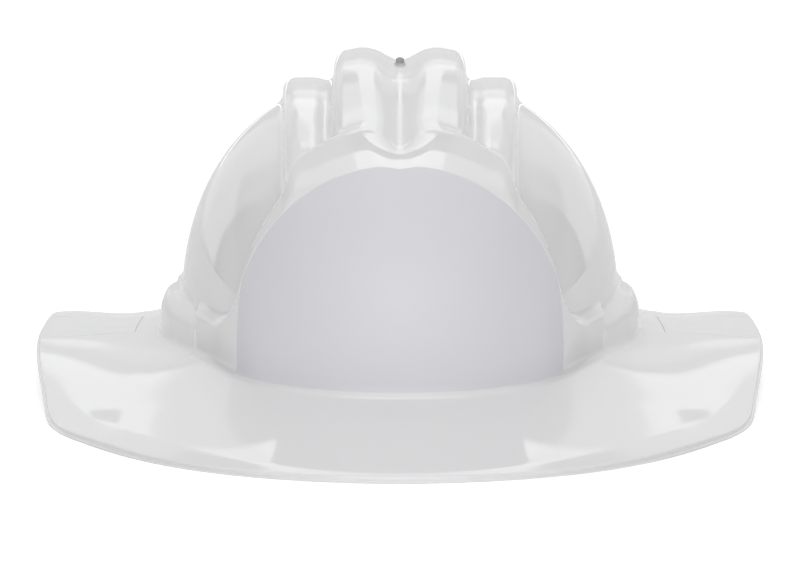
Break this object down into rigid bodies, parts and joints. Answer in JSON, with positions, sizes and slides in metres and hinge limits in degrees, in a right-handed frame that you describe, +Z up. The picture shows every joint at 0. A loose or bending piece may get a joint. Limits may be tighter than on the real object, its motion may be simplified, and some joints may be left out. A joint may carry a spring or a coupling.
{
  "type": "full brim hard hat",
  "caption": "Ribbed hard hat shell with a brim all round, webbing suspension, headband and a nape ratchet knob that tightens it.",
  "frame": {"origin": "under the middle of the brim, on the floor that the brim's front and rear edges rest on", "axes": "+X to the wearer's left, +Y to the rear of the hat, +Z up"},
  "size_m": [0.3404, 0.372, 0.1536],
  "materials": {
    "shell_plastic": "gloss",
    "plug_plastic": "matte",
    "suspension_plastic": "satin",
    "spring_plastic": "satin",
    "webbing": "woven",
    "padding": "knitted",
    "screw_steel": "brushed"
  },
  "bodies": {
    "hat": {"shell": "shell_plastic", "brim_insert_left": "shell_plastic", "brim_insert_right": "shell_plastic", "crown_plug": "plug_plastic", "front_left_suspension_key": "suspension_plastic", "front_right_suspension_key": "suspension_plastic", "rear_left_suspension_key": "suspension_plastic", "rear_right_suspension_key": "suspension_plastic", "upper_crown_strap": "webbing", "lower_crown_strap": "webbing", "crown_pad": "padding", "headband": "suspension_plastic", "sweatband": "padding", "nape_pad": "padding", "ratchet_housing": "suspension_plastic", "ratchet_cover": "suspension_plastic", "housing_screws": "screw_steel"},
    "knob": {"ratchet_knob": "suspension_plastic", "drive_pinion": "suspension_plastic", "detent_spring": "spring_plastic", "knob_screw": "screw_steel"},
    "left_strap": {"left_rack_strap": "suspension_plastic"},
    "right_strap": {"right_rack_strap": "suspension_plastic"}
  },
  "joints": [
    {"name": "knob_turn", "type": "hinge", "parent": "hat", "child": "knob", "pos_m": [0, 0.1, 0.026], "axis": [0, 1, 0], "range_deg": [-190, 190]},
    {"name": "left_strap_slide", "type": "hinge", "parent": "hat", "child": "left_strap", "pos_m": [0, 0.008, 0.026], "axis": [0, 0, 1], "range_deg": [-16.6, 16.6]},
    {"name": "right_strap_slide", "type": "hinge", "parent": "hat", "child": "right_strap", "pos_m": [0, 0.008, 0.026], "axis": [0, 0, 1], "range_deg": [-16.6, 16.6]}
  ],
  "couplings": [
    {"joint": "left_strap_slide", "follows": "knob_turn", "ratio": 0.08706},
    {"joint": "right_strap_slide", "follows": "knob_turn", "ratio": -0.08551}
  ]
}
